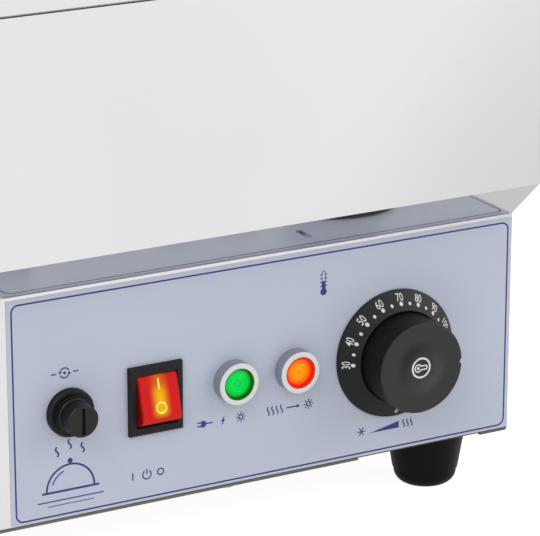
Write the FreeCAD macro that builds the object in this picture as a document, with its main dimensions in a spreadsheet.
"""Electric food warmer: a steel control box on rubber feet carries a wider water tank with one tray
and a hinged lid.

Millimetres. X runs to the right, Y to the back and Z up. The origin lies on the floor, under the middle
of the warmer. Every driving dimension is a cell of the sheet "Sizes", and the features are bound to it.
"""

import FreeCAD, Part
import math
import os

import Sketcher

SIZES = {
    "control box": {
        "box_width": 574.0,
        "box_depth": 324.0,
        "box_height": 102.7,
        "box_corner": 2.0,
        "box_flange": 14.0,
        "steel": 1.0,
        "base_steel": 1.2,
        "notch_length": 64.5,
        "notch_inset": 15.3,
        "notch_depth": 6.0,
        "notch_over_cut": 1.0,
        "base_inset": 0.3,
        "plate_screw_radius": 1.9,
        "plate_screw_clearance": 0.1,
        "plate_screw_length": 6.0,
        "plate_screw_head": 3.4,
        "plate_screw_head_height": 2.0,
        "thread_end": 1.5,
        "base_slot_length": 60.0,
        "base_slot_width": 4.0,
        "base_slot_pitch": 14.0,
        "vent_height": 34.0,
        "vent_width": 4.0,
        "vent_pitch": 11.0,
        "vent_start": 40.0,
        "vent_level": 50.0,
    },
    "feet": {
        "foot_height": 27.5,
        "foot_top_radius": 18.5,
        "foot_low_radius": 15.2,
        "foot_step": 0.7,
        "foot_shoulder": 7.6,
        "foot_round": 6.0,
        "foot_well_radius": 6.5,
        "foot_well_depth": 15.0,
        "foot_inset_side": 29.45,
        "foot_inset_front": 25.0,
        "foot_screw_radius": 2.5,
        "foot_screw_clearance": 0.3,
        "foot_screw_head": 5.0,
        "foot_screw_head_height": 3.0,
    },
    "tank shell and lid": {
        "front_overhang": 18.0,
        "side_overhang": 3.1,
        "slope_rise": 18.1,
        "wall_height": 104.5,
        "shell_corner": 3.0,
        "rim_flange": 16.0,
        "seam_gap": 1.1,
        "pad_clearance": 0.05,
        "pad_length": 34.0,
        "pad_width": 3.2,
        "pad_place": 236.0,
        "pad_inset": 0.2,
        "pad_corner": 1.4,
        "shell_bolt_place": 172.0,
        "shell_bolt_radius": 2.5,
        "shell_bolt_head": 4.75,
        "shell_bolt_head_height": 3.0,
        "skirt_height": 34.0,
        "hip_run": 46.0,
        "hip_rise": 30.0,
        "crown_corner": 6.0,
        "handle_span": 150.0,
        "handle_height": 34.0,
        "handle_radius": 5.0,
        "handle_bend": 14.0,
        "handle_inset": 84.0,
        "spacer_height": 9.0,
        "spacer_radius": 9.0,
        "handle_screw_radius": 2.5,
        "handle_screw_grip": 9.0,
        "handle_bore_spare": 1.0,
        "handle_screw_head": 4.75,
        "handle_screw_head_height": 3.0,
    },
    "well and tray": {
        "well_length": 506.0,
        "well_width": 301.0,
        "well_depth": 116.0,
        "well_corner": 25.0,
        "well_fillet": 12.0,
        "well_rim_step": 4.0,
        "tray_length": 530.0,
        "tray_width": 325.0,
        "tray_depth": 100.0,
        "tray_rim": 3.5,
        "tray_rim_corner": 14.0,
        "tray_land": 14.0,
        "tray_draft": 4.5,
        "tray_corner": 24.0,
        "tray_fillet": 14.0,
        "tray_steel": 0.9,
    },
    "hinges": {
        "hinge_place": 190.0,
        "hinge_length": 60.0,
        "leaf_height": 25.0,
        "leaf_steel": 1.5,
        "knuckle_radius": 3.1,
        "knuckle_length": 28.0,
        "knuckle_gap": 0.4,
        "knuckle_stand_off": 0.4,
        "pin_radius": 1.6,
        "pin_clearance": 0.05,
        "pin_head": 1.0,
        "pin_head_radius": 2.4,
        "rivet_radius": 2.0,
        "rivet_head": 3.6,
        "rivet_head_height": 1.2,
        "rivet_inset": 12.0,
        "rivet_level": 14.0,
    },
    "panel film and its controls": {
        "film_width": 248.2,
        "film_height": 100.2,
        "film_corner": 0.6,
        "film_thickness": 0.4,
        "film_right_gap": 1.4,
        "film_lower_gap": 1.0,
        "row_drop": 3.9,
        "lamp_rise": 1.2,
        "reset_rise": 0.9,
        "reset_x": -96.3,
        "rocker_x": -56.15,
        "green_x": -18.15,
        "orange_x": 12.15,
        "dial_x": 63.2,
        "hole_clearance": 0.2,
    },
    "manual reset": {
        "collar_radius": 10.7,
        "collar_height": 3.0,
        "collar_edge": 0.8,
        "neck_radius": 8.6,
        "neck_height": 4.6,
        "bush_radius": 4.8,
        "bush_reach": 9.6,
        "cap_radius": 7.2,
        "cap_front": 14.0,
        "cap_lip_radius": 7.8,
        "cap_lip_height": 0.9,
        "cap_lip_slope": 0.54,
        "cap_edge": 0.7,
        "cap_gap": 0.15,
        "cap_wall": 1.9,
        "cap_bore_clearance": 0.25,
        "cap_slot_width": 1.6,
        "cap_slot_length": 11.6,
        "cap_slot_depth": 1.4,
        "reset_pin_radius": 1.9,
        "reset_pin_reach": 11.0,
        "reset_pin_clearance": 0.1,
        "reset_pin_depth": 12.0,
        "reset_pin_spare": 1.0,
        "reset_travel": 1.2,
        "cutout_length": 34.0,
        "cutout_width": 26.0,
        "cutout_depth": 24.0,
        "cutout_corner": 2.0,
    },
    "rocker switch": {
        "frame_width": 25.6,
        "frame_height": 31.0,
        "frame_thickness": 2.7,
        "frame_edge": 0.8,
        "switch_width": 21.6,
        "switch_height": 27.6,
        "switch_depth": 19.0,
        "mouth_width": 19.6,
        "mouth_height": 23.8,
        "mouth_depth": 13.0,
        "rocker_width": 18.9,
        "rocker_radius": 11.5,
        "rocker_face": 6.7,
        "rocker_back": 4.5,
        "rocker_edge": 1.1,
        "rocker_side_edge": 0.6,
        "rocker_pivot": 0.8,
        "rocker_tilt": 15.5,
        "trunnion_radius": 1.2,
        "trunnion_length": 0.7,
        "blade_width": 6.3,
        "blade_thickness": 0.8,
        "blade_length": 10.0,
        "blade_spacing": 6.5,
        "blade_rise": 8.5,
    },
    "pilot lamps": {
        "ring_radius": 9.5,
        "ring_height": 6.6,
        "ring_edge": 0.5,
        "lens_radius": 7.2,
        "lens_clearance": 0.05,
        "lens_seat": 2.6,
        "lens_recess": 0.5,
        "lens_edge": 0.55,
        "lens_rim": 2.2,
        "lens_groove": 0.3,
        "lens_dome_radius": 3.6,
        "lens_dome": 0.3,
        "lamp_barrel": 6.3,
        "lamp_reach": 20.0,
        "lamp_nut_across": 18.0,
        "lamp_nut_height": 4.0,
    },
    "dial and thermostat": {
        "dial_radius": 29.6,
        "dial_rim": 1.6,
        "dial_inner_radius": 22.2,
        "dial_height": 4.4,
        "dial_wall": 1.4,
        "knob_radius": 20.5,
        "knob_top_radius": 20.9,
        "knob_gap": 0.4,
        "knob_front": 24.2,
        "knob_edge": 1.2,
        "knob_dish": 0.9,
        "knob_dish_radius": 14.0,
        "knob_dish_step": 0.4,
        "knob_dish_flat": 7.0,
        "knob_wall": 2.6,
        "knob_floor": 4.0,
        "knob_notch": 1.5,
        "hub_radius": 6.0,
        "shaft_radius": 3.0,
        "shaft_reach": 19.0,
        "shaft_clearance": 0.05,
        "shaft_depth": 6.0,
        "shaft_spare": 0.5,
        "thermo_width": 44.0,
        "thermo_height": 40.0,
        "thermo_depth": 24.0,
        "thermo_bush_radius": 5.0,
        "thermo_bush_reach": 2.4,
        "thermo_screw_radius": 2.0,
        "thermo_screw_head": 3.6,
        "thermo_screw_height": 2.2,
        "thermo_screw_spacing": 28.0,
        "thermo_screw_grip": 6.0,
        "thermo_screw_spare": 2.0,
        "thermo_corner": 4.0,
        "thermo_drum": 6.0,
        "thermo_drum_radius": 15.0,
        "bulb_radius": 3.0,
        "bulb_length": 96.0,
        "bulb_level": 28.0,
        "bulb_shift": 40.0,
        "capillary_radius": 0.9,
        "capillary_bend": 5.0,
        "capillary_gap": 6.0,
        "clip_steel": 0.8,
        "clip_width": 8.0,
        "clip_foot": 6.0,
        "clip_inset": 24.0,
    },
    "heating": {
        "element_radius": 4.0,
        "element_length": 400.0,
        "element_pitch": 60.0,
        "element_tail": 46.0,
        "element_bend": 14.0,
        "element_clearance": 1.0,
        "clamp_width": 25.0,
        "clamp_length": 236.0,
        "clamp_steel": 2.0,
        "clamp_corner": 3.0,
        "clamp_place": 120.0,
        "stud_radius": 2.5,
        "stud_spread": 60.0,
        "stud_length": 34.0,
        "nut_across": 8.0,
        "nut_height": 4.0,
        "mat_end_margin": 16.0,
        "mat_side_margin": 10.0,
        "mat_corner": 8.0,
        "mat_thickness": 12.0,
        "shield_steel": 1.2,
        "shield_rim": 8.0,
    },
    "supply": {
        "gland_x": 214.0,
        "gland_z": 62.0,
        "gland_thread": 8.0,
        "gland_bore": 4.5,
        "gland_thread_spare": 2.0,
        "gland_neck": 9.0,
        "gland_flange": 12.0,
        "gland_flange_height": 5.0,
        "gland_reach": 12.0,
        "gland_cap_radius": 11.0,
        "gland_cap_height": 10.5,
        "gland_cap_straight": 6.3,
        "gland_cap_gap": 0.5,
        "gland_nut_height": 5.0,
        "gland_nut_across": 22.8,
        "bond_x": 168.0,
        "bond_radius": 3.0,
        "bond_out": 12.0,
        "bond_in": 14.0,
        "bond_across": 10.0,
        "bond_collar_height": 3.0,
        "bond_nut_height": 5.0,
        "bond_lug_gap": 0.8,
        "block_pitch": 12.4,
        "block_depth": 18.0,
        "block_height": 20.0,
        "block_well_radius": 3.6,
        "block_well_depth": 12.0,
        "block_x": 110.0,
    },
}

SHEET = "Sizes"
PLANES = {"XY": "XY_Plane", "XZ": "XZ_Plane", "YZ": "YZ_Plane"}
START, END, CENTRE = range(1, 4)
ORIGIN = (-1, START)
SIDES = (-1, 1)
QUARTER_TURN = math.pi / 2
HEXAGON_TURN = math.pi / 3

doc = FreeCAD.newDocument("food_warmer")
nodes = []


class Size:
    """A number together with the sheet formula that gives it."""

    def __init__(self, value, text=None):
        self.value = float(value)
        self.text = text or f"({float(value):.9g})"

    def _join(self, other, sign, value):
        return Size(value, f"({self.text} {sign} {as_size(other).text})")

    def __add__(self, other):
        return self._join(other, "+", self.value + as_size(other).value)

    def __sub__(self, other):
        return self._join(other, "-", self.value - as_size(other).value)

    def __mul__(self, other):
        return self._join(other, "*", self.value * as_size(other).value)

    def __truediv__(self, other):
        return self._join(other, "/", self.value / as_size(other).value)

    def __neg__(self):
        return Size(-self.value, f"(-1 * {self.text})")

    def __radd__(self, other):
        return as_size(other) + self

    def __rsub__(self, other):
        return as_size(other) - self

    def __rmul__(self, other):
        return as_size(other) * self


def as_size(number):
    return number if isinstance(number, Size) else Size(number)


def slant(run, rise):
    """Length of a slope."""
    return Size(math.hypot(run.value, rise.value), f"sqrt({run.text}^2 + {rise.text}^2)")


class Sheet:
    """The spreadsheet of driving dimensions, read as attributes."""

    def __init__(self, groups):
        self.cells = doc.addObject("Spreadsheet::Sheet", SHEET)
        row = 1
        for group, values in groups.items():
            self.cells.set(f"A{row}", group)
            row += 1
            for alias, value in values.items():
                self.cells.set(f"A{row}", alias)
                self.cells.set(f"B{row}", f"{value:g}")
                self.cells.setAlias(f"B{row}", alias)
                setattr(self, alias, Size(value, f"{SHEET}.{alias}"))
                row += 1
        doc.recompute()


s = Sheet(SIZES)

# Levels and faces that several pieces share.
BOX_BOTTOM = s.foot_height + s.base_steel
BOX_TOP = BOX_BOTTOM + s.box_height
WALL_BOTTOM = BOX_TOP + s.slope_rise
RIM = WALL_BOTTOM + s.wall_height
WELL_RIM = RIM + s.steel
WELL_FLOOR = WELL_RIM - s.well_depth
WELL_UNDER = WELL_FLOOR - s.steel
LID_BOTTOM = RIM + s.seam_gap
SKIRT_TOP = LID_BOTTOM + s.skirt_height
CROWN = SKIRT_TOP + s.hip_rise
HALF_BOX_X = s.box_width / 2
HALF_BOX_Y = s.box_depth / 2
HALF_SHELL_X = HALF_BOX_X + s.side_overhang
HALF_SHELL_Y = HALF_BOX_Y + s.front_overhang
LEAF_PLANE = s.knuckle_radius + s.knuckle_stand_off
HINGE_Y = HALF_SHELL_Y + LEAF_PLANE
HINGE_Z = RIM + s.seam_gap / 2
PANEL_Y = -(HALF_BOX_Y + s.film_thickness)
FILM_X = HALF_BOX_X - s.film_right_gap - s.film_width / 2
FILM_Z = BOX_BOTTOM + s.film_lower_gap + s.film_height / 2
ROW_Z = FILM_Z - s.row_drop
LAMP_Z = ROW_Z + s.lamp_rise
RESET_Z = ROW_Z + s.reset_rise
FOOT_X = HALF_BOX_X - s.foot_inset_side
FOOT_Y = HALF_BOX_Y - s.foot_inset_front
ELEMENT_Z = WELL_UNDER - s.element_radius
CLAMP_TOP = WELL_UNDER - s.element_radius * 2
MAT_TOP = CLAMP_TOP - s.clamp_steel - s.nut_height
SHIELD_TOP = MAT_TOP - s.mat_thickness
TAIL_X = (s.element_length + s.element_pitch) / 2
HALF_MAT_X = TAIL_X + s.mat_end_margin
HALF_MAT_Y = s.clamp_length / 2 + s.mat_side_margin
RIVET_X = s.hinge_length / 2 - s.rivet_inset
BULB_Y = -(s.well_width / 2 + s.steel + s.bulb_radius)
BULB_Z = WELL_FLOOR + s.bulb_level
HANDLE_Y = -(HALF_SHELL_Y - s.handle_inset)
SPACER_TOP = CROWN + s.spacer_height


def bind(item, path, size):
    item.setExpression(path, as_size(size).text)


def new_body(label):
    body = doc.addObject("PartDesign::Body", label)
    body.Label = label
    nodes.append(body)
    return body


def put(body, x=0, y=0, z=0, axis=None, angle=0):
    """Places a body, with an optional turn about an axis through its own origin."""
    if axis is not None:
        turn = FreeCAD.Rotation(FreeCAD.Vector(*axis), as_size(angle).value)
        body.Placement = FreeCAD.Placement(FreeCAD.Vector(), turn)
        bind(body, "Placement.Rotation.Angle", angle)
    for name, size in zip("xyz", (x, y, z)):
        bind(body, f"Placement.Base.{name}", size)


def draw(body, name, plane, offset=0):
    """A sketch on one of the body's own planes, moved along that plane's normal."""
    sketch = body.newObject("Sketcher::SketchObject", name)
    support = [item for item in body.Origin.OriginFeatures if item.Role == PLANES[plane]]
    sketch.AttachmentSupport = [(support[0], "")]
    sketch.MapMode = "FlatFace"
    bind(sketch, "AttachmentOffset.Base.z", offset)
    return sketch


def point(x, y):
    return FreeCAD.Vector(as_size(x).value, as_size(y).value, 0)


def fix(sketch, kind, geometry, where, size):
    """Holds one coordinate of a point of the sketch at a distance from its origin."""
    constraint = Sketcher.Constraint(kind, *ORIGIN, geometry, where, as_size(size).value)
    index = sketch.addConstraint(constraint)
    bind(sketch, f"Constraints[{index}]", size)


def fix_point(sketch, geometry, where, x, y):
    fix(sketch, "DistanceX", geometry, where, x)
    fix(sketch, "DistanceY", geometry, where, y)


def fix_radius(sketch, geometry, radius):
    index = sketch.addConstraint(Sketcher.Constraint("Radius", geometry, as_size(radius).value))
    bind(sketch, f"Constraints[{index}]", radius)


def circle(sketch, x, y, radius):
    shape = Part.Circle(point(x, y), FreeCAD.Vector(0, 0, 1), as_size(radius).value)
    geometry = sketch.addGeometry(shape)
    fix_radius(sketch, geometry, radius)
    fix_point(sketch, geometry, CENTRE, x, y)


def polygon(sketch, corners):
    """A closed outline of straight edges through the given corners."""
    count = len(corners)
    first = None
    for number, corner in enumerate(corners):
        following = corners[(number + 1) % count]
        line = sketch.addGeometry(Part.LineSegment(point(*corner), point(*following)))
        first = line if first is None else first
        fix_point(sketch, line, START, *corner)
    for number in range(count):
        following = first + (number + 1) % count
        sketch.addConstraint(Sketcher.Constraint("Coincident", first + number, END, following, START))


def rectangle(sketch, left, low, right, high):
    polygon(sketch, [(left, low), (right, low), (right, high), (left, high)])


def hexagon(sketch, x, y, across):
    corner = across / math.sqrt(3)
    turns = [HEXAGON_TURN * number for number in range(6)]
    polygon(sketch, [(x + corner * math.cos(turn), y + corner * math.sin(turn)) for turn in turns])


def rounded(sketch, left, low, right, high, radius):
    """A rectangle with round corners."""
    edges = [
        ((left + radius, low), (right - radius, low)),
        ((right, low + radius), (right, high - radius)),
        ((right - radius, high), (left + radius, high)),
        ((left, high - radius), (left, low + radius)),
    ]
    corners = [
        (right - radius, low + radius),
        (right - radius, high - radius),
        (left + radius, high - radius),
        (left + radius, low + radius),
    ]
    lines = [sketch.addGeometry(Part.LineSegment(point(*a), point(*b))) for a, b in edges]
    arcs = []
    for number, corner in enumerate(corners):
        whole = Part.Circle(point(*corner), FreeCAD.Vector(0, 0, 1), as_size(radius).value)
        start = QUARTER_TURN * (number - 1)
        arcs.append(sketch.addGeometry(Part.ArcOfCircle(whole, start, start + QUARTER_TURN)))
    for number in range(4):
        tangent = Sketcher.Constraint("Tangent", lines[number], END, arcs[number], START)
        sketch.addConstraint(tangent)
        following = lines[(number + 1) % 4]
        sketch.addConstraint(Sketcher.Constraint("Tangent", arcs[number], END, following, START))
        if number:
            sketch.addConstraint(Sketcher.Constraint("Equal", arcs[0], arcs[number]))
    for number, kind in enumerate(("Horizontal", "Vertical", "Horizontal", "Vertical")):
        sketch.addConstraint(Sketcher.Constraint(kind, lines[number]))
    fix_radius(sketch, arcs[0], radius)
    fix(sketch, "DistanceY", lines[0], START, low)
    fix(sketch, "DistanceX", lines[1], START, right)
    fix(sketch, "DistanceY", lines[2], START, high)
    fix(sketch, "DistanceX", lines[3], START, left)


def centred(sketch, half_x, half_y, radius, x=0, y=0):
    x, y = as_size(x), as_size(y)
    rounded(sketch, x - half_x, y - half_y, x + half_x, y + half_y, as_size(radius))


def pad(body, name, sketch, length, down=False):
    feature = body.newObject("PartDesign::Pad", name)
    feature.Profile = sketch
    feature.Reversed = down
    bind(feature, "Length", length)
    return feature


def pad_both_ways(body, name, sketch, length):
    feature = pad(body, name, sketch, length)
    feature.Midplane = True
    return feature


def pocket(body, name, sketch, length, along_normal=False):
    """Cuts against the sketch's normal, or along it."""
    feature = body.newObject("PartDesign::Pocket", name)
    feature.Profile = sketch
    feature.Reversed = along_normal
    bind(feature, "Length", length)
    return feature


def revolve(body, name, sketch):
    """Turns a profile about the sketch's vertical axis."""
    feature = body.newObject("PartDesign::Revolution", name)
    feature.Profile = sketch
    feature.ReferenceAxis = (sketch, ["V_Axis"])
    feature.Angle = 360
    return feature


def loft(body, name, first, last, cut=False):
    kind = "PartDesign::SubtractiveLoft" if cut else "PartDesign::AdditiveLoft"
    feature = body.newObject(kind, name)
    feature.Profile = first
    feature.Sections = [last]
    feature.Ruled = True
    return feature


def row_of(body, name, feature, axis, length, count):
    """Repeats a cut or a pad in a row; length reaches from the first copy to the last."""
    pattern = body.newObject("PartDesign::LinearPattern", name)
    pattern.Originals = [feature]
    pattern.Direction = axis
    pattern.Occurrences = count
    bind(pattern, "Length", length)
    body.Tip = pattern
    return pattern


def edges_where(feature, wanted):
    doc.recompute()
    edges = enumerate(feature.Shape.Edges, start=1)
    return [f"Edge{number}" for number, edge in edges if wanted(edge.BoundBox)]


def faces_where(feature, wanted):
    doc.recompute()
    faces = enumerate(feature.Shape.Faces, start=1)
    return [f"Face{number}" for number, face in faces if wanted(face.BoundBox)]


def at_level(low, high, level):
    """True where a box is flat and lies at a level."""
    return abs(low - as_size(level).value) < 0.01 and abs(high - as_size(level).value) < 0.01


def fillet(body, name, feature, edges, radius):
    item = body.newObject("PartDesign::Fillet", name)
    item.Base = (feature, edges)
    bind(item, "Radius", radius)
    return item


def chamfer(body, name, feature, edges, size):
    item = body.newObject("PartDesign::Chamfer", name)
    item.Base = (feature, edges)
    bind(item, "Size", size)
    return item


def disc(body, name, level, length, places, radius, down=False):
    """One round pad for each place on a level plane."""
    sketch = draw(body, f"{name}_outline", "XY", level)
    for x, y in places:
        circle(sketch, x, y, radius)
    return pad(body, name, sketch, length, down)


def turned(label, profile, x, z):
    """A piece turned about the horizontal axis of a control, given as radii and depths."""
    body = new_body(label)
    sketch = draw(body, "profile", "XY")
    polygon(sketch, profile)
    revolve(body, "turning", sketch)
    put(body, x, PANEL_Y, z)
    return body


def corners_of(x, y):
    return [(side * x, end * y) for side in SIDES for end in SIDES]


def sheet_shift(run, rise):
    """How far the inner face of a sloping sheet lies outside its outer edge, one sheet further in."""
    return s.steel * (run - slant(run, rise)) / rise


# ---------------------------------------------------------------- control box


def panel_holes(sketch, clearance):
    """The openings behind the controls, the same in the steel and in the film."""
    circle(sketch, FILM_X + s.reset_x, RESET_Z, s.bush_radius + clearance)
    half_x = s.switch_width / 2 + clearance
    half_z = s.switch_height / 2 + clearance
    middle = FILM_X + s.rocker_x
    rectangle(sketch, middle - half_x, ROW_Z - half_z, middle + half_x, ROW_Z + half_z)
    for place in (s.green_x, s.orange_x):
        circle(sketch, FILM_X + place, LAMP_Z, s.lamp_barrel + clearance)
    dial = FILM_X + s.dial_x
    circle(sketch, dial, ROW_Z, s.thermo_bush_radius + clearance)
    for side in SIDES:
        x = dial + side * s.thermo_screw_spacing / 2
        circle(sketch, x, ROW_Z, s.thermo_screw_radius + clearance)


def flange_screw_places():
    """Screws through the middle of the box's lower flange."""
    y = HALF_BOX_Y - s.box_flange / 2
    return [(x, side * y) for x in (-HALF_BOX_X / 2, Size(0), HALF_BOX_X / 2) for side in SIDES]


def shell_bolt_places():
    return corners_of(s.shell_bolt_place, HALF_BOX_Y - s.box_flange / 2)


def base_housing():
    body = new_body("base_housing")
    outline = draw(body, "outline", "XY", BOX_BOTTOM)
    centred(outline, HALF_BOX_X, HALF_BOX_Y, s.box_corner)
    pad(body, "block", outline, s.box_height)
    inside = draw(body, "inside", "XY", BOX_TOP - s.steel)
    centred(inside, HALF_BOX_X - s.steel, HALF_BOX_Y - s.steel, s.box_corner - s.steel / 2)
    pocket(body, "hollow", inside, s.box_height - 2 * s.steel)
    mouth_x = HALF_BOX_X - s.box_flange
    mouth_y = HALF_BOX_Y - s.box_flange
    for name, level, along in (("upper_mouth", BOX_TOP, False), ("lower_mouth", BOX_BOTTOM, True)):
        mouth = draw(body, f"{name}_outline", "XY", level)
        rectangle(mouth, -mouth_x, -mouth_y, mouth_x, mouth_y)
        pocket(body, name, mouth, s.steel, along)
    front = draw(body, "front_openings", "XZ", HALF_BOX_Y)
    panel_holes(front, s.hole_clearance)
    pocket(body, "front_cut", front, s.steel * 2)
    back = draw(body, "back_openings", "XZ", -HALF_BOX_Y)
    circle(back, -s.gland_x, s.gland_z, s.gland_thread + s.hole_clearance)
    circle(back, -s.bond_x, s.gland_z, s.bond_radius + s.hole_clearance)
    pocket(body, "back_cut", back, s.steel * 2, True)
    vent = draw(body, "vent_outline", "XZ", -HALF_BOX_Y)
    half_vent = s.vent_width / 2
    rounded(
        vent,
        s.vent_start - half_vent,
        s.vent_level,
        s.vent_start + half_vent,
        s.vent_level + s.vent_height,
        half_vent * SLOT_ROUND,
    )
    slot = pocket(body, "vent", vent, s.steel * 2, True)
    row_of(body, "vents", slot, (vent, ["H_Axis"]), s.vent_pitch * (VENTS - 1), VENTS)
    for name, level, places, radius in (
        ("shell_bolt_holes", BOX_TOP, shell_bolt_places(), s.shell_bolt_radius),
        ("plate_screw_holes", BOX_BOTTOM + s.steel, flange_screw_places(), s.plate_screw_radius),
    ):
        holes = draw(body, f"{name}_outline", "XY", level)
        for x, y in places:
            circle(holes, x, y, radius)
        pocket(body, name, holes, s.steel)


VENTS = 12
BASE_SLOTS = 9
# Share of a slot's half width that its corner radius takes, so that a short straight edge is left.
SLOT_ROUND = 0.98


def bottom_plate():
    """Plate under the box, cut back at the front and back edge beside each foot."""
    body = new_body("bottom_plate")
    outline = draw(body, "outline", "XY", s.foot_height)
    centred(outline, HALF_BOX_X - s.base_inset, HALF_BOX_Y - s.base_inset, s.box_corner)
    pad(body, "plate", outline, s.base_steel)
    notches = draw(body, "notches", "XY", BOX_BOTTOM)
    outer = HALF_BOX_X - s.notch_inset
    inner = outer - s.notch_length
    for side in SIDES:
        for end in SIDES:
            edge = end * (HALF_BOX_Y + s.notch_over_cut)
            back = end * (HALF_BOX_Y - s.notch_depth)
            rectangle(notches, side * inner, edge, side * outer, back)
    pocket(body, "notch_cut", notches, s.base_steel)
    holes = draw(body, "screw_holes", "XY", BOX_BOTTOM)
    for x, y in corners_of(FOOT_X, FOOT_Y):
        circle(holes, x, y, s.foot_screw_radius + s.foot_screw_clearance)
    for x, y in flange_screw_places():
        circle(holes, x, y, s.plate_screw_radius)
    pocket(body, "screw_cut", holes, s.base_steel)
    slot = draw(body, "slot_outline", "XY", BOX_BOTTOM)
    start = -(s.base_slot_pitch * (BASE_SLOTS - 1) / 2)
    half_slot = s.base_slot_width / 2
    half_length = s.base_slot_length / 2
    corner = half_slot * SLOT_ROUND
    rounded(slot, start - half_slot, -half_length, start + half_slot, half_length, corner)
    cut = pocket(body, "slot", slot, s.base_steel)
    length = s.base_slot_pitch * (BASE_SLOTS - 1)
    row_of(body, "slots", cut, (slot, ["H_Axis"]), length, BASE_SLOTS)


def foot(label, x, y):
    """Tapered rubber cup with a step above its rounded lower edge and a well for the screw."""
    body = new_body(label)
    profile = draw(body, "profile", "XZ")
    bore = s.foot_screw_radius + s.foot_screw_clearance
    lower = s.foot_low_radius - s.foot_step
    polygon(
        profile,
        [
            (s.foot_well_radius, Size(0)),
            (lower, Size(0)),
            (lower, s.foot_shoulder),
            (s.foot_low_radius, s.foot_shoulder),
            (s.foot_top_radius, s.foot_height),
            (bore, s.foot_height),
            (bore, s.foot_well_depth),
            (s.foot_well_radius, s.foot_well_depth),
        ],
    )
    cup = revolve(body, "cup", profile)
    width = lower.value * 2

    def lower_edge(box):
        return at_level(box.ZMin, box.ZMax, 0) and abs(box.XLength - width) < 0.1

    fillet(body, "rounding", cup, edges_where(cup, lower_edge), s.foot_round)
    put(body, x, y)


def foot_screws():
    body = new_body("foot_screws")
    places = corners_of(FOOT_X, FOOT_Y)
    reach = BOX_BOTTOM + s.nut_height + s.thread_end - s.foot_well_depth
    disc(body, "shanks", s.foot_well_depth, reach, places, s.foot_screw_radius)
    disc(body, "heads", s.foot_well_depth, s.foot_screw_head_height, places, s.foot_screw_head, True)


def nuts(label, levels, places, across, height, bore):
    """A group of hexagon nuts on one level or more."""
    body = new_body(label)
    for number, level in enumerate(levels):
        outline = draw(body, f"outline_{number}", "XY", level)
        for x, y in places:
            hexagon(outline, x, y, across)
            circle(outline, x, y, bore)
        pad(body, f"nuts_{number}", outline, height)


def housing_screws():
    """Short screws that hold the bottom plate to the flange of the box."""
    body = new_body("housing_screws")
    places = flange_screw_places()
    radius = s.plate_screw_radius - s.plate_screw_clearance
    disc(body, "shanks", s.foot_height, s.plate_screw_length, places, radius)
    height = s.plate_screw_head_height
    disc(body, "heads", s.foot_height, height, places, s.plate_screw_head, True)


# ---------------------------------------------------------------- tank, tray and lid


def tank_shell():
    """Sheet body: a flange on the box, a slope outwards, an upright wall and a flange inwards."""
    body = new_body("tank_shell")
    foot_line = draw(body, "foot_line", "XY", BOX_TOP)
    centred(foot_line, HALF_BOX_X, HALF_BOX_Y, s.box_corner)
    fold_line = draw(body, "fold_line", "XY", WALL_BOTTOM)
    centred(fold_line, HALF_SHELL_X, HALF_SHELL_Y, s.shell_corner)
    loft(body, "slope", foot_line, fold_line)
    pad(body, "wall", fold_line, s.wall_height)
    low = draw(body, "inside_foot", "XY", BOX_TOP + s.steel)
    low_x = HALF_BOX_X + sheet_shift(s.side_overhang, s.slope_rise)
    low_y = HALF_BOX_Y + sheet_shift(s.front_overhang, s.slope_rise)
    centred(low, low_x, low_y, s.box_corner - s.steel / 2)
    fold = draw(body, "inside_fold", "XY", WALL_BOTTOM)
    half_x = HALF_SHELL_X - s.steel
    half_y = HALF_SHELL_Y - s.steel
    centred(fold, half_x, half_y, s.shell_corner - s.steel)
    loft(body, "slope_inside", low, fold, cut=True)
    pocket(body, "wall_inside", fold, s.wall_height - s.steel, True)
    mouth = draw(body, "rim_mouth", "XY", RIM)
    centred(mouth, HALF_SHELL_X - s.rim_flange, HALF_SHELL_Y - s.rim_flange, s.rim_flange)
    pocket(body, "rim_opening", mouth, s.steel)
    under = draw(body, "foot_mouth", "XY", BOX_TOP)
    x, y = HALF_BOX_X - s.box_flange, HALF_BOX_Y - s.box_flange
    rectangle(under, -x, -y, x, y)
    pocket(body, "foot_opening", under, s.steel, True)
    holes = draw(body, "bolt_holes", "XY", BOX_TOP + s.steel)
    for x, y in shell_bolt_places():
        circle(holes, x, y, s.shell_bolt_radius)
    pocket(body, "bolt_cut", holes, s.steel)
    rivets = draw(body, "rivet_holes", "XZ", -HALF_SHELL_Y)
    for x in rivet_places():
        circle(rivets, x, HINGE_Z - s.rivet_level, s.rivet_radius)
    pocket(body, "rivet_cut", rivets, s.steel, True)


def shell_bolts():
    """Bolts with nuts of their own through the flanges of the box and the shell."""
    body = new_body("shell_bolts")
    places = shell_bolt_places()
    under = BOX_TOP - s.steel
    radius = s.shell_bolt_radius
    disc(body, "shanks", under, s.steel * 2 + s.nut_height + s.thread_end, places, radius)
    disc(body, "heads", under, s.shell_bolt_head_height, places, s.shell_bolt_head, True)
    nuts("shell_nuts", [BOX_TOP + s.steel], places, s.nut_across, s.nut_height, radius)


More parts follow.
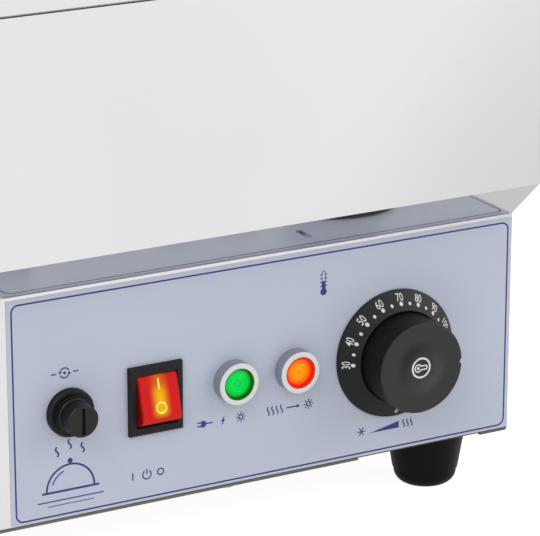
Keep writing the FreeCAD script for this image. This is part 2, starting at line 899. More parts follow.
def water_tank():
    """Drawn well whose flange lies on the shell."""
    body = new_body("water_tank")
    flange = draw(body, "flange_outline", "XY", RIM)
    inset = s.well_rim_step
    centred(flange, HALF_SHELL_X - inset, HALF_SHELL_Y - inset, s.shell_corner)
    pad(body, "flange", flange, s.steel)
    outside = draw(body, "outside", "XY", RIM)
    half_x, half_y = s.well_length / 2, s.well_width / 2
    centred(outside, half_x + s.steel, half_y + s.steel, s.well_corner + s.steel)
    pad(body, "well", outside, RIM - WELL_UNDER, down=True)
    inside = draw(body, "inside", "XY", WELL_RIM)
    centred(inside, half_x, half_y, s.well_corner)
    hollow = pocket(body, "hollow", inside, s.well_depth)
    outer = edges_where(hollow, lambda box: at_level(box.ZMin, box.ZMax, WELL_UNDER))
    rounding = fillet(body, "outer_rounding", hollow, outer, s.well_fillet + s.steel)
    inner = edges_where(rounding, lambda box: at_level(box.ZMin, box.ZMax, WELL_FLOOR))
    fillet(body, "inner_rounding", rounding, inner, s.well_fillet)


def food_pan():
    """Gastronorm 1/1 pan: a rim with a turned-down edge, tapered walls and a round floor edge."""
    body = new_body("food_pan")
    top = WELL_RIM + s.tray_rim
    floor = top - s.tray_depth
    mouth_x = s.tray_length / 2 - s.tray_land
    mouth_y = s.tray_width / 2 - s.tray_land
    mouth = draw(body, "mouth_outline", "XY", top)
    centred(mouth, mouth_x, mouth_y, s.tray_corner)
    block = pad(body, "block", mouth, s.tray_depth, down=True)
    walls = body.newObject("PartDesign::Draft", "walls")
    walls.Base = (block, faces_where(block, lambda box: box.ZLength > 1))
    walls.NeutralPlane = (block, faces_where(block, lambda box: at_level(box.ZMin, box.ZMax, top)))
    walls.Reversed = True
    bind(walls, "Angle", s.tray_draft)
    edges = edges_where(walls, lambda box: at_level(box.ZMin, box.ZMax, floor))
    rounding = fillet(body, "rounding", walls, edges, s.tray_fillet)
    cup = body.newObject("PartDesign::Thickness", "cup")
    cup.Base = (rounding, faces_where(rounding, lambda box: at_level(box.ZMin, box.ZMax, top)))
    cup.Reversed = True
    bind(cup, "Value", s.tray_steel)
    rim = draw(body, "rim_outline", "XY", top)
    centred(rim, s.tray_length / 2, s.tray_width / 2, s.tray_rim_corner)
    centred(rim, mouth_x - s.tray_steel / 2, mouth_y - s.tray_steel / 2, s.tray_corner)
    pad(body, "rim", rim, s.tray_steel, down=True)
    lip = draw(body, "lip_outline", "XY", top)
    centred(lip, s.tray_length / 2, s.tray_width / 2, s.tray_rim_corner)
    edge = s.tray_length / 2 - s.tray_steel
    side = s.tray_width / 2 - s.tray_steel
    centred(lip, edge, side, s.tray_rim_corner - s.tray_steel)
    pad(body, "lip", lip, s.tray_rim, down=True)


def rim_pads():
    """Thin silicone pads on the shell's rim, under the edge of the lid."""
    body = new_body("rim_pads")
    outline = draw(body, "outline", "XY", RIM)
    middle = HALF_SHELL_Y - s.pad_width / 2 - s.pad_inset
    half_x, half_y = s.pad_length / 2, s.pad_width / 2
    for x, y in corners_of(s.pad_place, middle):
        centred(outline, half_x, half_y, s.pad_corner, x, y)
    pad(body, "pads", outline, s.seam_gap - s.pad_clearance)


def lid_shell():
    """Upright skirt, four hipped slopes and a flat crown, all of one thin sheet."""
    body = new_body("lid_shell")
    edge = draw(body, "edge", "XY", SKIRT_TOP)
    centred(edge, HALF_SHELL_X, HALF_SHELL_Y, s.shell_corner)
    pad(body, "skirt", edge, s.skirt_height, down=True)
    crown = draw(body, "crown", "XY", CROWN)
    crown_x, crown_y = HALF_SHELL_X - s.hip_run, HALF_SHELL_Y - s.hip_run
    centred(crown, crown_x, crown_y, s.crown_corner)
    loft(body, "hips", edge, crown)
    inner_edge = draw(body, "inner_edge", "XY", SKIRT_TOP)
    half_x, half_y = HALF_SHELL_X - s.steel, HALF_SHELL_Y - s.steel
    centred(inner_edge, half_x, half_y, s.shell_corner - s.steel)
    pocket(body, "skirt_inside", inner_edge, s.skirt_height)
    inner_crown = draw(body, "inner_crown", "XY", CROWN - s.steel)
    shift = sheet_shift(s.hip_run, s.hip_rise)
    centred(inner_crown, crown_x + shift, crown_y + shift, s.crown_corner - s.steel / 2)
    loft(body, "hips_inside", inner_edge, inner_crown, cut=True)
    holes = draw(body, "handle_holes", "XY", CROWN)
    for side in SIDES:
        circle(holes, side * s.handle_span / 2, HANDLE_Y, s.handle_screw_radius)
    pocket(body, "handle_cut", holes, s.steel * 2)
    rivets = draw(body, "rivet_holes", "XZ", -HALF_SHELL_Y)
    for x in rivet_places():
        circle(rivets, x, HINGE_Z + s.rivet_level, s.rivet_radius)
    pocket(body, "rivet_cut", rivets, s.steel, True)


def lid_handle():
    """Round bar bent into a bow, standing on two spacers."""
    body = new_body("lid_handle")
    half = s.handle_span / 2
    bend = s.handle_bend
    low = SPACER_TOP
    high = SPACER_TOP + s.handle_height
    path = draw(body, "path", "XZ")
    left = path.addGeometry(Part.LineSegment(point(-half, low), point(-half, high - bend)))
    top = path.addGeometry(Part.LineSegment(point(-half + bend, high), point(half - bend, high)))
    right = path.addGeometry(Part.LineSegment(point(half, high - bend), point(half, low)))
    up = FreeCAD.Vector(0, 0, 1)
    arcs = []
    for x, start in ((-half + bend, QUARTER_TURN), (half - bend, 0.0)):
        whole = Part.Circle(point(x, high - bend), up, bend.value)
        arcs.append(path.addGeometry(Part.ArcOfCircle(whole, start, start + QUARTER_TURN)))
    for pair in (
        (left, END, arcs[0], END),
        (arcs[0], START, top, START),
        (top, END, arcs[1], END),
        (arcs[1], START, right, START),
    ):
        path.addConstraint(Sketcher.Constraint("Tangent", *pair))
    path.addConstraint(Sketcher.Constraint("Equal", *arcs))
    fix_radius(path, arcs[0], bend)
    fix_point(path, left, START, -half, low)
    fix_point(path, right, END, half, low)
    fix(path, "DistanceY", top, START, high)
    path.addConstraint(Sketcher.Constraint("Horizontal", top))
    for line in (left, right):
        path.addConstraint(Sketcher.Constraint("Vertical", line))
    section = draw(body, "section", "XY", low)
    circle(section, -half, 0, s.handle_radius)
    pipe = body.newObject("PartDesign::AdditivePipe", "bow")
    pipe.Profile = section
    pipe.Spine = path
    bore = draw(body, "screw_bores", "XY", low)
    for side in SIDES:
        circle(bore, side * half, 0, s.handle_screw_radius)
    pocket(body, "bores", bore, s.handle_screw_grip + s.handle_bore_spare, True)
    put(body, 0, HANDLE_Y, 0)


def handle_fixings():
    places = [(side * s.handle_span / 2, HANDLE_Y) for side in SIDES]
    spacers = new_body("handle_spacers")
    outline = draw(spacers, "outline", "XY", CROWN)
    for x, y in places:
        circle(outline, x, y, s.spacer_radius)
        circle(outline, x, y, s.handle_screw_radius)
    pad(spacers, "spacers", outline, s.spacer_height)
    screws = new_body("handle_screws")
    under = CROWN - s.steel
    reach = s.steel + s.spacer_height + s.handle_screw_grip
    disc(screws, "shanks", under, reach, places, s.handle_screw_radius)
    disc(screws, "heads", under, s.handle_screw_head_height, places, s.handle_screw_head, True)


# ---------------------------------------------------------------- hinges


def rivet_places():
    return [side * s.hinge_place + end * RIVET_X for side in SIDES for end in SIDES]


def hinge_leaf(label, x, up):
    """One leaf of a butt hinge. The leaf that points up has the middle knuckle, the other has two."""
    body = new_body(label)
    sign = 1 if up else -1
    half = s.hinge_length / 2
    middle = s.knuckle_length / 2
    reach = sign * s.leaf_height
    clear = sign * (s.knuckle_radius + s.knuckle_gap)
    inner = middle if up else middle + s.knuckle_gap
    plate = draw(body, "plate_outline", "XZ", LEAF_PLANE)
    if up:
        edge = [(-half, clear), (-inner, clear), (-inner, 0), (inner, 0), (inner, clear), (half, clear)]
    else:
        edge = [(-half, 0), (-inner, 0), (-inner, clear), (inner, clear), (inner, 0), (half, 0)]
    polygon(plate, edge + [(half, reach), (-half, reach)])
    pad(body, "plate", plate, s.leaf_steel, down=True)
    spans = [(-middle, middle)] if up else [(-half, -inner), (inner, half)]
    for number, (start, end) in enumerate(spans):
        barrel = draw(body, f"barrel_outline_{number}", "YZ", start)
        circle(barrel, 0, 0, s.knuckle_radius)
        pad(body, f"barrel_{number}", barrel, end - start)
    bore = draw(body, "bore_outline", "YZ", half)
    circle(bore, 0, 0, s.pin_radius + (s.pin_clearance if up else 0))
    pocket(body, "bore", bore, s.hinge_length)
    rivets = draw(body, "rivet_holes", "XZ", LEAF_PLANE)
    for side in SIDES:
        circle(rivets, side * RIVET_X, sign * s.rivet_level, s.rivet_radius)
    pocket(body, "rivet_cut", rivets, s.leaf_steel)
    put(body, x, HINGE_Y, HINGE_Z)


def hinge_pins():
    """Two pins, each with a low head at both ends."""
    body = new_body("hinge_pins")
    half = s.hinge_length / 2
    for hand, side in (("left", -1), ("right", 1)):
        start = side * s.hinge_place - half
        for name, level, length, radius in (
            ("shank", start, s.hinge_length, s.pin_radius),
            ("near_head", start - s.pin_head, s.pin_head, s.pin_head_radius),
            ("far_head", start + s.hinge_length, s.pin_head, s.pin_head_radius),
        ):
            outline = draw(body, f"{name}_outline_{hand}", "YZ", level)
            circle(outline, 0, 0, radius)
            pad(body, f"{name}_{hand}", outline, length)
    put(body, 0, HINGE_Y, HINGE_Z)


def hinge_rivets(label, up):
    """Rivets through one row of leaves and the sheet behind them."""
    body = new_body(label)
    sign = 1 if up else -1
    level = HINGE_Z + sign * s.rivet_level
    length = s.leaf_steel + s.steel
    inner = HALF_SHELL_Y - s.steel
    shanks = draw(body, "shank_outline", "XZ", -inner)
    heads = draw(body, "head_outline", "XZ", -(HALF_SHELL_Y + s.leaf_steel))
    for x in rivet_places():
        circle(shanks, x, level, s.rivet_radius)
        circle(heads, x, level, s.rivet_head)
    pad(body, "shanks", shanks, length, down=True)
    pad(body, "heads", heads, s.rivet_head_height, down=True)


# ---------------------------------------------------------------- panel and controls


def panel_film():
    body = new_body("panel_film")
    outline = draw(body, "outline", "XZ", HALF_BOX_Y)
    centred(outline, s.film_width / 2, s.film_height / 2, s.film_corner, FILM_X, FILM_Z)
    pad(body, "film", outline, s.film_thickness)
    holes = draw(body, "openings", "XZ", -PANEL_Y)
    panel_holes(holes, s.hole_clearance)
    pocket(body, "opening_cut", holes, s.film_thickness)


def manual_reset():
    """Collar, screw cap, reset pin and the cut-out behind the panel."""
    x = FILM_X + s.reset_x
    zero = Size(0)
    edge = s.collar_edge
    turned(
        "reset_collar",
        [
            (s.bush_radius, zero),
            (s.collar_radius, zero),
            (s.collar_radius, -s.collar_height + edge),
            (s.collar_radius - edge, -s.collar_height),
            (s.neck_radius, -s.collar_height),
            (s.neck_radius, -s.neck_height),
            (s.bush_radius, -s.neck_height),
        ],
        x,
        RESET_Z,
    )
    base = -s.neck_height - s.cap_gap
    bore = s.bush_radius + s.cap_bore_clearance
    roof = -s.cap_front + s.cap_wall
    cap = turned(
        "reset_cap",
        [
            (bore, base),
            (s.cap_lip_radius, base),
            (s.cap_lip_radius, base - s.cap_lip_height),
            (s.cap_radius, base - s.cap_lip_height - s.cap_lip_slope),
            (s.cap_radius, -s.cap_front + s.cap_edge),
            (s.cap_radius - s.cap_edge, -s.cap_front),
            (zero, -s.cap_front),
            (zero, roof),
            (bore, roof),
        ],
        x,
        RESET_Z,
    )
    slot = draw(cap, "slot_outline", "XZ", s.cap_front)
    half_x, half_z = s.cap_slot_width / 2, s.cap_slot_length / 2
    rectangle(slot, -half_x, -half_z, half_x, half_z)
    pocket(cap, "slot", slot, s.cap_slot_depth)
    back = s.film_thickness + s.steel
    pin_bore = s.reset_pin_radius + s.reset_pin_clearance
    depth = s.reset_pin_depth
    body = new_body("cutout_body")
    block = draw(body, "block_outline", "XZ", -back)
    centred(block, s.cutout_width / 2, s.cutout_length / 2, s.cutout_corner)
    pad(body, "block", block, s.cutout_depth, down=True)
    bush = draw(body, "bush_outline", "XZ", -back)
    circle(bush, 0, 0, s.bush_radius)
    pad(body, "bush", bush, s.bush_reach + back)
    well = draw(body, "pin_well", "XZ", s.bush_reach)
    circle(well, 0, 0, pin_bore)
    pocket(body, "pin_bore", well, s.bush_reach + back + depth)
    put(body, x, PANEL_Y, RESET_Z)
    tail = back + depth - s.reset_travel - s.reset_pin_spare
    turned(
        "reset_pin",
        [
            (zero, tail),
            (s.reset_pin_radius, tail),
            (s.reset_pin_radius, -s.reset_pin_reach),
            (zero, -s.reset_pin_reach),
        ],
        x,
        RESET_Z,
    )


def rocker_switch():
    """Frame and housing of the switch, its rocker on two trunnions and its terminal blades."""
    x = FILM_X + s.rocker_x
    body = new_body("rocker_frame")
    rim = draw(body, "rim_outline", "XZ")
    half_x, half_z = s.frame_width / 2, s.frame_height / 2
    rectangle(rim, -half_x, -half_z, half_x, half_z)
    frame = pad(body, "rim", rim, s.frame_thickness)
    front = -s.frame_thickness
    edges = edges_where(frame, lambda box: at_level(box.YMin, box.YMax, front))
    chamfer(body, "rim_edge", frame, edges, s.frame_edge)
    housing = draw(body, "housing_outline", "XZ")
    half_x, half_z = s.switch_width / 2, s.switch_height / 2
    rectangle(housing, -half_x, -half_z, half_x, half_z)
    pad(body, "housing", housing, s.switch_depth, down=True)
    mouth = draw(body, "mouth_outline", "XZ", s.frame_thickness)
    half_x, half_z = s.mouth_width / 2, s.mouth_height / 2
    rectangle(mouth, -half_x, -half_z, half_x, half_z)
    pocket(body, "mouth", mouth, s.frame_thickness + s.mouth_depth)
    reach = s.mouth_width / 2 + s.trunnion_length + s.shaft_clearance
    sockets = draw(body, "socket_outline", "YZ", -reach)
    circle(sockets, s.rocker_pivot, 0, s.trunnion_radius + s.shaft_clearance)
    pocket(body, "sockets", sockets, reach * 2, True)
    put(body, x, PANEL_Y, ROW_Z)

    rocker = new_body("rocker_button")
    side = draw(rocker, "side_outline", "YZ")
    radius = s.rocker_radius
    face_high = math.sqrt(radius.value**2 - s.rocker_face.value**2)
    back_high = math.sqrt(radius.value**2 - s.rocker_back.value**2)
    face, back = -s.rocker_face, s.rocker_back
    up = FreeCAD.Vector(0, 0, 1)
    front_line = Part.LineSegment(point(face, face_high), point(face, -face_high))
    back_line = Part.LineSegment(point(back, -back_high), point(back, back_high))
    front_edge, back_edge = side.addGeometry(front_line), side.addGeometry(back_line)
    face_turn = math.atan2(face_high, face.value)
    back_turn = math.atan2(back_high, back.value)
    whole = Part.Circle(FreeCAD.Vector(), up, radius.value)
    upper = side.addGeometry(Part.ArcOfCircle(whole, back_turn, face_turn))
    lower = side.addGeometry(Part.ArcOfCircle(whole, -face_turn, -back_turn))
    for pair in (
        (upper, START, back_edge, END),
        (upper, END, front_edge, START),
        (lower, START, front_edge, END),
        (lower, END, back_edge, START),
    ):
        side.addConstraint(Sketcher.Constraint("Coincident", *pair))
    for arc in (upper, lower):
        side.addConstraint(Sketcher.Constraint("Coincident", arc, CENTRE, *ORIGIN))
        fix_radius(side, arc, radius)
    for line, place in ((front_edge, face), (back_edge, back)):
        side.addConstraint(Sketcher.Constraint("Vertical", line))
        fix(side, "DistanceX", line, START, place)
    block = pad_both_ways(rocker, "block", side, s.rocker_width)
    half = s.rocker_width.value / 2

    def face_ends(box):
        return at_level(box.YMin, box.YMax, face) and box.XLength > half

    def face_sides(box):
        return at_level(box.YMin, box.YMax, face) and box.XLength < 0.01

    ends = chamfer(rocker, "end_edges", block, edges_where(block, face_ends), s.rocker_edge)
    sides = edges_where(ends, face_sides)
    chamfer(rocker, "side_edges", ends, sides, s.rocker_side_edge)
    trunnions = draw(rocker, "trunnion_outline", "YZ")
    circle(trunnions, 0, 0, s.trunnion_radius)
    pad_both_ways(rocker, "trunnions", trunnions, s.mouth_width + s.trunnion_length * 2)
    put(rocker, x, PANEL_Y + s.rocker_pivot, ROW_Z, axis=(1, 0, 0), angle=-s.rocker_tilt)

    blades = new_body("rocker_blades")
    outline = draw(blades, "outline", "XZ", -s.switch_depth)
    half_thick, half_wide = s.blade_thickness / 2, s.blade_width / 2
    for column in SIDES:
        for end in SIDES:
            middle_x, middle_z = column * s.blade_spacing, end * s.blade_rise
            rectangle(
                outline,
                middle_x - half_wide,
                middle_z - half_thick,
                middle_x + half_wide,
                middle_z + half_thick,
            )
    pad(blades, "blades", outline, s.blade_length, down=True)
    put(blades, x, PANEL_Y, ROW_Z)


def pilot_lamp(colour, place):
    """Metal ring with a barrel through the panel, and a lens set back in it."""
    x = FILM_X + place
    zero = Size(0)
    radius, front, edge = s.ring_radius, -s.ring_height, s.ring_edge
    seat = front + s.lens_seat
    turned(
        f"{colour}_lamp_ring",
        [
            (zero, seat),
            (zero, s.lamp_reach),
            (s.lamp_barrel, s.lamp_reach),
            (s.lamp_barrel, zero),
            (radius, zero),
            (radius, front + edge),
            (radius - edge, front),
            (s.lens_radius + edge / 2, front),
            (s.lens_radius, front + edge / 2),
            (s.lens_radius, seat),
        ],
        x,
        LAMP_Z,
    )
    lens = s.lens_radius - s.lens_clearance
    top = front + s.lens_recess
    turned(
        f"{colour}_lamp_lens",
        [
            (zero, seat),
            (lens, seat),
            (lens, top + s.lens_edge),
            (lens - s.lens_edge * 2, top),
            (lens - s.lens_rim, top),
            (lens - s.lens_rim - s.lens_groove, top + s.lens_groove),
            (s.lens_dome_radius, top),
            (zero, top - s.lens_dome),
        ],
        x,
        LAMP_Z,
    )


def lamp_nuts():
    body = new_body("lamp_nuts")
    outline = draw(body, "outline", "XZ", -(s.film_thickness + s.steel))
    for place in (s.green_x, s.orange_x):
        hexagon(outline, FILM_X + place, 0, s.lamp_nut_across)
        circle(outline, FILM_X + place, 0, s.lamp_barrel)
    pad(body, "nuts", outline, s.lamp_nut_height, down=True)
    put(body, 0, PANEL_Y, LAMP_Z)


def dial_and_knob():
    """Fixed scale disc, turning knob with a pointer notch, and the shaft it sits on."""
    x = FILM_X + s.dial_x
    zero = Size(0)
    bore = s.thermo_bush_radius + s.hole_clearance
    wall = s.dial_wall
    plate = turned(
        "dial_plate",
        [
            (s.dial_radius, zero),
            (s.dial_radius, -s.dial_rim),
            (s.dial_inner_radius, -s.dial_height),
            (bore, -s.dial_height),
            (bore, -s.dial_height + wall),
            (s.dial_inner_radius - wall, -s.dial_height + wall),
            (s.dial_radius - wall * 2, zero),
        ],
        x,
        ROW_Z,
    )
    holes = draw(plate, "screw_holes", "XZ", s.dial_height)
    for side in SIDES:
        circle(holes, side * s.thermo_screw_spacing / 2, 0, s.thermo_screw_radius)
    pocket(plate, "screw_cut", holes, wall * 2)

    base = -s.dial_height - s.knob_gap
    front = -s.knob_front
    floor = front + s.knob_floor
    cavity = s.knob_radius - s.knob_wall
    dish = s.knob_dish_radius
    knob = turned(
        "control_knob",
        [
            (s.shaft_radius, base),
            (s.hub_radius, base),
            (s.hub_radius, floor),
            (cavity, floor),
            (cavity, base),
            (s.knob_radius, base),
            (s.knob_top_radius, front),
            (s.knob_top_radius - s.knob_edge * 2, front),
            (dish, front + s.knob_dish_step),
            (s.knob_dish_flat, front + s.knob_dish),
            (zero, front + s.knob_dish),
            (zero, -s.shaft_reach),
            (s.shaft_radius, -s.shaft_reach),
        ],
        x,
        ROW_Z,
    )
    width = s.knob_top_radius.value * 2

    def front_edge(box):
        return at_level(box.YMin, box.YMax, front) and abs(box.XLength - width) < 0.1

    fillet(knob, "rounding", knob.Tip, edges_where(knob.Tip, front_edge), s.knob_edge)
    notch = draw(knob, "notch_outline", "XZ", s.knob_front)
    circle(notch, s.knob_top_radius, 0, s.knob_notch)
    pocket(knob, "notch", notch, s.knob_edge * 2)

    shaft = new_body("thermostat_shaft")
    rod = draw(shaft, "rod_outline", "XZ", s.shaft_reach)
    circle(rod, 0, 0, s.shaft_radius)
    back = s.film_thickness + s.steel
    pad(shaft, "rod", rod, s.shaft_reach + back + s.shaft_depth, down=True)
    put(shaft, x, PANEL_Y, ROW_Z)

    body = new_body("thermostat_body")
    block = draw(body, "block_outline", "XZ", -back)
    centred(block, s.thermo_width / 2, s.thermo_height / 2, s.thermo_corner)
    pad(body, "block", block, s.thermo_depth, down=True)
    drum = draw(body, "drum_outline", "XZ", -(back + s.thermo_depth))
    circle(drum, 0, 0, s.thermo_drum_radius)
    pad(body, "drum", drum, s.thermo_drum, down=True)
    bush = draw(body, "bush_outline", "XZ", -back)
    circle(bush, 0, 0, s.thermo_bush_radius)
    pad(body, "bush", bush, s.thermo_bush_reach + back)
    bore = draw(body, "shaft_bore", "XZ", s.thermo_bush_reach)
    circle(bore, 0, 0, s.shaft_radius + s.shaft_clearance)
    pocket(body, "bore", bore, s.thermo_bush_reach + back + s.shaft_depth + s.shaft_spare)
    holes = draw(body, "screw_holes", "XZ", -back)
    for side in SIDES:
        circle(holes, side * s.thermo_screw_spacing / 2, 0, s.thermo_screw_radius)
    pocket(body, "screw_cut", holes, s.thermo_screw_grip + s.thermo_screw_spare)
    put(body, x, PANEL_Y, ROW_Z)

    screws = new_body("thermostat_screws")
    shanks = draw(screws, "shank_outline", "XZ", s.dial_height)
    heads = draw(screws, "head_outline", "XZ", s.dial_height)
    for side in SIDES:
        place = side * s.thermo_screw_spacing / 2
        circle(shanks, place, 0, s.thermo_screw_radius)
        circle(heads, place, 0, s.thermo_screw_head)
    pad(screws, "shanks", shanks, s.dial_height + back + s.thermo_screw_grip, down=True)
    pad(screws, "heads", heads, s.thermo_screw_height)
    put(screws, x, PANEL_Y, ROW_Z)


# ---------------------------------------------------------------- bent tubes


def bent_path(corners, bends):
    """A wire of straight runs through the corners, joined by a tangent arc at each inner corner."""
    points = [FreeCAD.Vector(*corner) for corner in corners]
    edges = []
    start = points[0]
    for before, corner, after, radius in zip(points, points[1:], points[2:], bends):
        back = (before - corner).normalize()
        ahead = (after - corner).normalize()
        half_turn = back.getAngle(ahead) / 2
        reach = radius / math.tan(half_turn)
        bisector = (back + ahead).normalize()
        first = corner + back * reach
        last = corner + ahead * reach
        middle = corner + bisector * (radius / math.sin(half_turn) - radius)
        if (first - start).Length > 0.01:
            edges.append(Part.LineSegment(start, first).toShape())
        edges.append(Part.Arc(first, middle, last).toShape())
        start = last
    edges.append(Part.LineSegment(start, points[-1]).toShape())
    return Part.Wire(edges)


def tube(corners, bends, radius):
    """A round bar along straight runs and arcs."""
    path = bent_path(corners, bends)
    first = path.Edges[0]
    direction = first.tangentAt(first.FirstParameter)
    section = Part.Wire(Part.makeCircle(radius, first.valueAt(first.FirstParameter), direction))
    return path.makePipeShell([section], True, False)


def shaped(label, shape):
    """A sub-part whose route in space has no sketch plane."""
    item = doc.addObject("Part::Feature", label)
    item.Label = label
    item.Shape = shape
    nodes.append(item)
    return item


def heating_element():
    """Four runs of tube under the well, with both ends turned down into the box."""
    z = ELEMENT_Z.value
    half = s.element_length.value / 2
    pitch = s.element_pitch.value
    turn = pitch / 2
    tail = z - s.element_tail.value
    end = half + turn
    rows = [-1.5 * pitch, -0.5 * pitch, 0.5 * pitch, 1.5 * pitch]
    corners = [
        (end, rows[0], tail),
        (end, rows[0], z),
        (-end, rows[0], z),
        (-end, rows[1], z),
        (half - turn, rows[1], z),
        (half - turn, rows[2], z),
        (-end, rows[2], z),
        (-end, rows[3], z),
        (end, rows[3], z),
        (end, rows[3], tail),
    ]
    tail_bend = s.element_bend.value
    bends = [tail_bend] + [turn] * (len(corners) - 4) + [tail_bend]
    shaped("heating_element", tube(corners, bends, s.element_radius.value))


def capillary_bulb(label, place, start):
    """A thin tube from the top of a control up past the box's rim to a bulb on the well's front."""
    x = (FILM_X + place).value
    rise_y = -(HALF_BOX_Y - s.box_flange - s.capillary_gap).value
    gap_z = ((BOX_TOP + s.steel + WELL_UNDER) / 2).value
    bulb_x = x - s.bulb_shift.value
    corners = [
        (x, rise_y, start.value),
        (x, rise_y, gap_z),
        (x, BULB_Y.value, gap_z),
        (x, BULB_Y.value, BULB_Z.value),
        (bulb_x, BULB_Y.value, BULB_Z.value),
    ]
    bends = [s.capillary_bend.value] * (len(corners) - 2)
    thin = tube(corners, bends, s.capillary_radius.value)
    left = FreeCAD.Vector(-1, 0, 0)
    end = FreeCAD.Vector(*corners[-1])
    bulb = Part.makeCylinder(s.bulb_radius.value, s.bulb_length.value, end, left)
    shaped(label, thin.fuse(bulb))


def bulbs():
    """The feelers of the thermostat and of the cut-out, side by side on the well's front wall."""
    capillary_bulb("thermostat_bulb", s.dial_x, ROW_Z + s.thermo_height / 2)
    capillary_bulb("cutout_bulb", s.reset_x, RESET_Z + s.cutout_length / 2)


def bulb_clips():
    """Sheet clips of hat shape, two for each bulb, on the well's front wall."""
    body = new_body("bulb_clips")
    steel, radius, foot_edge = s.clip_steel, s.bulb_radius, s.bulb_radius + s.clip_foot
    wall = BULB_Y + radius
    face = BULB_Y - radius
    inset = s.clip_inset + s.clip_width / 2
    for number, start in enumerate((s.dial_x, s.reset_x)):
        for end, along in (("near", inset), ("far", s.bulb_length - s.clip_inset + s.clip_width / 2)):
            hat = draw(body, f"hat_{number}_{end}", "YZ", FILM_X + start - s.bulb_shift - along)
            polygon(
                hat,
                [
                    (wall, BULB_Z + radius),
                    (wall, BULB_Z + foot_edge),
                    (wall - steel, BULB_Z + foot_edge),
                    (wall - steel, BULB_Z + radius + steel),
                    (face - steel, BULB_Z + radius + steel),
                    (face - steel, BULB_Z - radius - steel),
                    (wall - steel, BULB_Z - radius - steel),
                    (wall - steel, BULB_Z - foot_edge),
                    (wall, BULB_Z - foot_edge),
                    (wall, BULB_Z - radius),
                    (face, BULB_Z - radius),
                    (face, BULB_Z + radius),
                ],
            )
            pad(body, f"clip_{number}_{end}", hat, s.clip_width)


# ---------------------------------------------------------------- heating under the well


def stud_places():
    return corners_of(s.clamp_place, s.stud_spread)


def element_clamps():
    body = new_body("element_clamps")
    outline = draw(body, "outline", "XY", CLAMP_TOP)
    half_x, half_y = s.clamp_width / 2, s.clamp_length / 2
    for side in SIDES:
        centred(outline, half_x, half_y, s.clamp_corner, side * s.clamp_place, 0)
    pad(body, "bars", outline, s.clamp_steel, down=True)
    holes = draw(body, "stud_holes", "XY", CLAMP_TOP)
    for x, y in stud_places():
        circle(holes, x, y, s.stud_radius)
    pocket(body, "stud_cut", holes, s.clamp_steel)


def studs_and_layers():
    """Studs under the well carry the bars, the mat and the shield, each row with its nuts."""
    studs = new_body("tank_studs")
    disc(studs, "studs", WELL_UNDER, s.stud_length, stud_places(), s.stud_radius, True)
    levels = [CLAMP_TOP - s.clamp_steel - s.nut_height, SHIELD_TOP - s.shield_steel - s.nut_height]
    nuts("stud_nuts", levels, stud_places(), s.nut_across, s.nut_height, s.stud_radius)
    tails = [(TAIL_X, end * s.element_pitch * 1.5) for end in SIDES]

    mat = new_body("insulation_mat")
    outline = draw(mat, "outline", "XY", SHIELD_TOP)
    centred(outline, HALF_MAT_X, HALF_MAT_Y, s.mat_corner)
    pad(mat, "mat", outline, s.mat_thickness)
    shield = new_body("heat_shield")
    rim = s.shield_steel
    tray = draw(shield, "outline", "XY", SHIELD_TOP - s.shield_steel)
    centred(tray, HALF_MAT_X + rim, HALF_MAT_Y + rim, s.mat_corner + rim)
    pad(shield, "tray", tray, s.shield_steel + s.shield_rim)
    inside = draw(shield, "inside", "XY", SHIELD_TOP + s.shield_rim)
    centred(inside, HALF_MAT_X, HALF_MAT_Y, s.mat_corner)
    pocket(shield, "tray_hollow", inside, s.shield_rim)
    for body, level, depth in ((mat, MAT_TOP, s.mat_thickness), (shield, SHIELD_TOP, s.shield_steel)):
        holes = draw(body, "openings", "XY", level)
        for x, y in stud_places():
            circle(holes, x, y, s.stud_radius)
        for x, y in tails:
            circle(holes, x, y, s.element_radius + s.element_clearance)
        pocket(body, "opening_cut", holes, depth)


# ---------------------------------------------------------------- supply at the back


def cable_gland():
    """Inlet for the power cord: body through the wall, domed cap outside and nut inside."""
    zero = Size(0)
    bore = s.gland_bore
    thread = s.gland_thread
    neck = s.gland_neck
    inner_end = -s.steel - s.gland_nut_height - s.gland_thread_spare
    flange = s.gland_flange_height
    pieces = {
        "gland_body": [
            (bore, inner_end),
            (thread, inner_end),
            (thread, zero),
            (s.gland_flange, zero),
            (s.gland_flange, flange),
            (neck, flange),
            (neck, s.gland_reach),
            (bore, s.gland_reach),
        ],
        "gland_cap": [
            (neck, flange + s.gland_cap_gap),
            (s.gland_cap_radius, flange + s.gland_cap_gap),
            (s.gland_cap_radius, flange + s.gland_cap_straight),
            (thread, flange + s.gland_cap_height),
            (bore, flange + s.gland_cap_height),
            (bore, s.gland_reach),
            (neck, s.gland_reach),
        ],
    }
    for label, profile in pieces.items():
        body = new_body(label)
        sketch = draw(body, "profile", "XY")
        polygon(sketch, profile)
        revolve(body, "turning", sketch)
        put(body, -s.gland_x, HALF_BOX_Y, s.gland_z)
    body = new_body("gland_nut")
    outline = draw(body, "outline", "XZ", s.steel)
    hexagon(outline, Size(0), Size(0), s.gland_nut_across)
    circle(outline, 0, 0, thread)
    pad(body, "nut", outline, s.gland_nut_height)
    put(body, -s.gland_x, HALF_BOX_Y, s.gland_z)


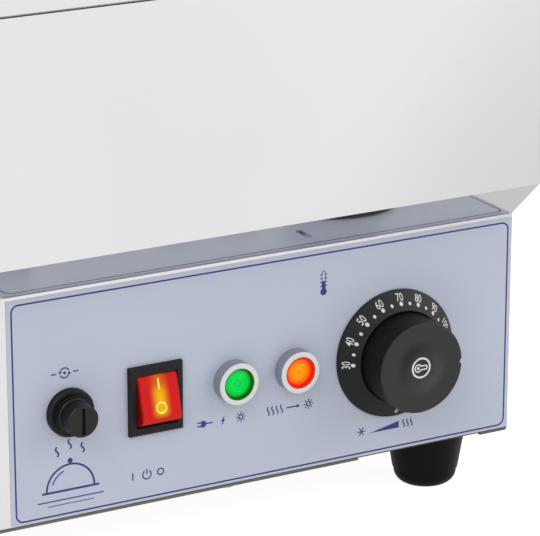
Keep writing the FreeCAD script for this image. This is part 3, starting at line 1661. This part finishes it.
def bonding_point():
    """Stud with a hexagon collar on the back wall, held by two nuts inside with room for a ring."""
    stud = new_body("bonding_stud")
    shank = draw(stud, "shank_outline", "XZ")
    circle(shank, 0, 0, s.bond_radius)
    pad(stud, "shank", shank, s.bond_in)
    collar = draw(stud, "collar_outline", "XZ")
    hexagon(collar, Size(0), Size(0), s.bond_across)
    pad(stud, "collar", collar, s.bond_collar_height, down=True)
    free_end = draw(stud, "free_outline", "XZ", -s.bond_collar_height)
    circle(free_end, 0, 0, s.bond_radius)
    pad(stud, "free_end", free_end, s.bond_out, down=True)
    fixings = new_body("bonding_nuts")
    level = s.steel
    for name in ("wall_nut", "ring_nut"):
        outline = draw(fixings, f"{name}_outline", "XZ", level)
        hexagon(outline, Size(0), Size(0), s.bond_across)
        circle(outline, 0, 0, s.bond_radius)
        pad(fixings, name, outline, s.bond_nut_height)
        level = level + s.bond_nut_height + s.bond_lug_gap
    for body in (stud, fixings):
        put(body, -s.bond_x, HALF_BOX_Y, s.gland_z)


def terminal_block():
    """Insulating block on the inside of the back wall with a row of screw wells."""
    body = new_body("terminal_block")
    outline = draw(body, "outline", "XY")
    half = s.block_pitch * WELLS / 2
    rectangle(outline, -half, -s.block_depth, half, 0)
    pad(body, "block", outline, s.block_height)
    well = draw(body, "well_outline", "XY", s.block_height)
    length = s.block_pitch * (WELLS - 1)
    circle(well, -length / 2, -s.block_depth / 2, s.block_well_radius)
    cut = pocket(body, "well", well, s.block_well_depth)
    row_of(body, "wells", cut, (well, ["H_Axis"]), length, WELLS)
    put(body, -s.block_x, HALF_BOX_Y - s.steel, s.gland_z)


WELLS = 5


def build():
    base_housing()
    bottom_plate()
    for front, end in (("front", -1), ("rear", 1)):
        for hand, side in (("left", -1), ("right", 1)):
            foot(f"foot_{front}_{hand}", side * FOOT_X, end * FOOT_Y)
    foot_screws()
    bore = s.foot_screw_radius
    nuts("foot_nuts", [BOX_BOTTOM], corners_of(FOOT_X, FOOT_Y), s.nut_across, s.nut_height, bore)
    housing_screws()
    tank_shell()
    shell_bolts()
    water_tank()
    food_pan()
    rim_pads()
    lid_shell()
    lid_handle()
    handle_fixings()
    for hand, side in (("left", -1), ("right", 1)):
        place = side * s.hinge_place
        hinge_leaf(f"hinge_base_{hand}", place, up=False)
        hinge_leaf(f"hinge_lid_{hand}", place, up=True)
    hinge_pins()
    hinge_rivets("hinge_rivets_base", up=False)
    hinge_rivets("hinge_rivets_lid", up=True)
    panel_film()
    manual_reset()
    rocker_switch()
    pilot_lamp("green", s.green_x)
    pilot_lamp("orange", s.orange_x)
    lamp_nuts()
    dial_and_knob()
    bulbs()
    bulb_clips()
    heating_element()
    element_clamps()
    studs_and_layers()
    cable_gland()
    bonding_point()
    terminal_block()


def check():
    """Stops if any object failed or any sub-part has no sound shape."""
    failed = [item.Name for item in doc.Objects if {"Invalid", "Error"} & set(item.State)]
    if failed:
        raise RuntimeError(f"these objects failed: {failed}")
    for node in nodes:
        if node.Shape.isNull() or not node.Shape.isValid() or not node.Shape.Solids:
            raise RuntimeError(f"{node.Label} has no sound shape")


def write():
    os.makedirs("parts", exist_ok=True)
    for node in nodes:
        node.Shape.exportStep(f"parts/{node.Label}.step")
    print(f"{len(nodes)} nodes")


build()
doc.recompute()
check()
write()
